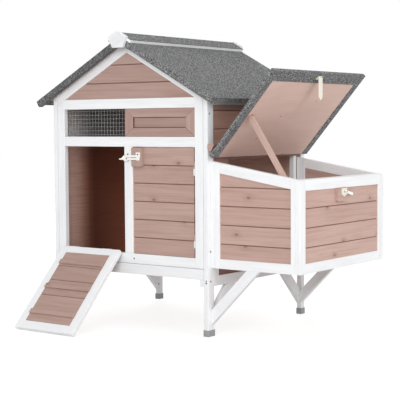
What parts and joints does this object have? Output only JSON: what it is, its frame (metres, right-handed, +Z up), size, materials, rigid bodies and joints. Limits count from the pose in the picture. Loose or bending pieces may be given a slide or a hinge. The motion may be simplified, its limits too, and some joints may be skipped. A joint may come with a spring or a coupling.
{
  "type": "duck_house",
  "caption": "Wooden duck house on legs with a felt gable roof, ramp, door, sliding shutter, tray and a side nest box under a propped lid",
  "frame": {"origin": "Middle of the bounding box's footprint, on the ground the legs and the ramp's end stand on", "axes": "+X from the house towards the nest box on its right side, +Y from the front with its door and ramp to the back, +Z up"},
  "size_m": [0.9532, 0.8002, 0.891],
  "materials": {
    "white_wood": "opaque white stain, satin",
    "brown_wood": "muted reddish brown stain, matt",
    "inner_wood": "brown stained board, matt",
    "grey_felt": "mineral roofing felt, rough",
    "zinc_steel": "zinc plated",
    "grey_plastic": "moulded, mid grey"
  },
  "bodies": {
    "house": {"house_legs": "white_wood", "foot_caps": "grey_plastic", "side_wall_rails": "white_wood", "left_wall_planks": "brown_wood", "right_wall_planks": "brown_wood", "passage_frame": "white_wood", "front_stiles": "white_wood", "front_rails": "white_wood", "front_centre_stile": "white_wood", "front_gable_planks": "brown_wood", "gable_rakes": "white_wood", "window_mesh": "zinc_steel", "window_board": "brown_wood", "rear_frame": "white_wood", "rear_planks": "brown_wood", "roof_deck_right": "inner_wood", "roof_deck_left": "inner_wood", "roof_felt_right": "grey_felt", "roof_felt_left": "grey_felt", "roof_edge_battens": "inner_wood", "ridge_cap_boards": "white_wood", "ridge_cap_felt": "grey_felt", "ridge_cap_end_blocks": "white_wood", "tray_runners": "white_wood", "leg_braces": "white_wood", "nest_braces": "white_wood", "nest_frame": "white_wood", "nest_side_planks": "brown_wood", "nest_end_planks": "brown_wood", "nest_floor": "inner_wood", "hinge_batten": "brown_wood", "fixed_hinge_leaves": "zinc_steel", "stile_catch_plate": "zinc_steel", "nest_latch_block": "brown_wood", "nest_catch_plate": "zinc_steel"},
    "ramp": {"ramp_frame": "white_wood", "ramp_planks": "brown_wood", "ramp_cleats": "brown_wood", "ramp_hinge_leaves": "zinc_steel"},
    "door": {"door_planks": "brown_wood", "door_battens": "brown_wood", "door_latch_block": "brown_wood", "door_latch_plate": "zinc_steel", "door_hinge_leaves": "zinc_steel"},
    "latch_bar": {"door_latch_bar": "zinc_steel"},
    "shutter": {"shutter_frame": "brown_wood", "shutter_panel": "brown_wood"},
    "tray": {"tray_front": "white_wood", "tray_pan": "inner_wood"},
    "lid": {"lid_board": "inner_wood", "lid_felt": "grey_felt", "lid_hinge_leaves": "zinc_steel", "lid_hasp_plate": "zinc_steel", "prop_bracket": "brown_wood"},
    "hasp_tongue": {"lid_hasp_tongue": "zinc_steel"},
    "prop": {"prop_stick": "brown_wood"},
    "catch_lever": {"nest_catch_lever": "zinc_steel"}
  },
  "joints": [
    {"name": "ramp_hinge", "type": "hinge", "parent": "house", "child": "ramp", "pos_m": [-0.26912, -0.17086, 0.229], "axis": [-1, 0, 0], "range_deg": [0, 136]},
    {"name": "door_hinge", "type": "hinge", "parent": "house", "child": "door", "pos_m": [0.11863, -0.16736, 0.386], "axis": [0, 0, 1], "range_deg": [0, 160]},
    {"name": "latch_bar_lift", "type": "hinge", "parent": "door", "child": "latch_bar", "pos_m": [-0.08487, -0.17761, 0.5108], "axis": [0, 1, 0], "range_deg": [0, 60]},
    {"name": "shutter_slide", "type": "slide", "parent": "house", "child": "shutter", "axis": [-1, 0, 0], "range_m": [0, 0.24]},
    {"name": "tray_slide", "type": "slide", "parent": "house", "child": "tray", "axis": [0, 1, 0], "range_m": [0, 0.45]},
    {"name": "lid_hinge", "type": "hinge", "parent": "house", "child": "lid", "pos_m": [0.17063, 0.08514, 0.5213], "axis": [0, 1, 0], "range_deg": [-13, 57.8]},
    {"name": "tongue_swing", "type": "hinge", "parent": "lid", "child": "hasp_tongue", "pos_m": [0.39121, 0.08014, 0.74814], "axis": [0, 1, 0], "range_deg": [-60, 15]},
    {"name": "prop_swing", "type": "hinge", "parent": "lid", "child": "prop", "pos_m": [0.29428, -0.13086, 0.62871], "axis": [0, 1, 0], "range_deg": [-33, 8]},
    {"name": "catch_lever_turn", "type": "hinge", "parent": "house", "child": "catch_lever", "pos_m": [0.47483, 0.08864, 0.417], "axis": [1, 0, 0], "range_deg": [-90, 90]}
  ],
  "couplings": [
    {"joint": "tongue_swing", "follows": "lid_hinge", "ratio": -1},
    {"joint": "prop_swing", "follows": "lid_hinge", "ratio": -0.547}
  ]
}
